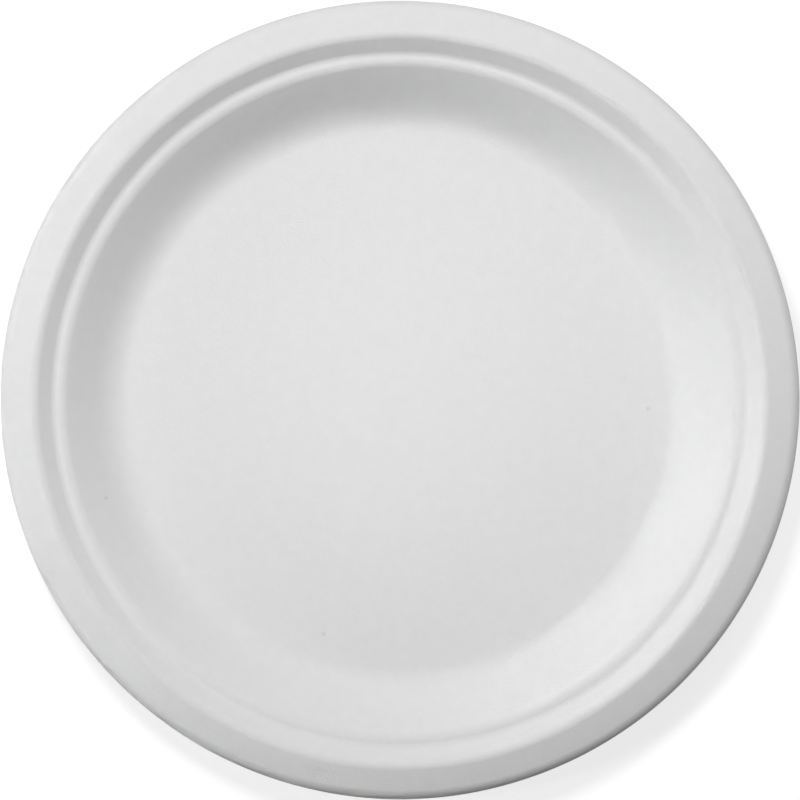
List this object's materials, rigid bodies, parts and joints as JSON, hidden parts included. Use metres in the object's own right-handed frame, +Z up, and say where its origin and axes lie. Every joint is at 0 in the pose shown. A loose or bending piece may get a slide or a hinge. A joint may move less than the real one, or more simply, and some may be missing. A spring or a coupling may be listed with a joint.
{
  "type": "paper plate",
  "caption": "Round white moulded-fibre dinner plate with a flat floor, sloping side, narrow ledge, falling rim and turned-down lip.",
  "frame": {"origin": "centre of the underside, on the surface that the plate stands on", "axes": "+Z up through the plate's centre, food face up; +X to the right and +Y away from the viewer, all ways round alike"},
  "size_m": [0.23, 0.23, 0.0192],
  "materials": {
    "moulded_fibre": "matt white pressed pulp"
  },
  "bodies": {
    "root": {"plate": "moulded_fibre"}
  },
  "joints": []
}
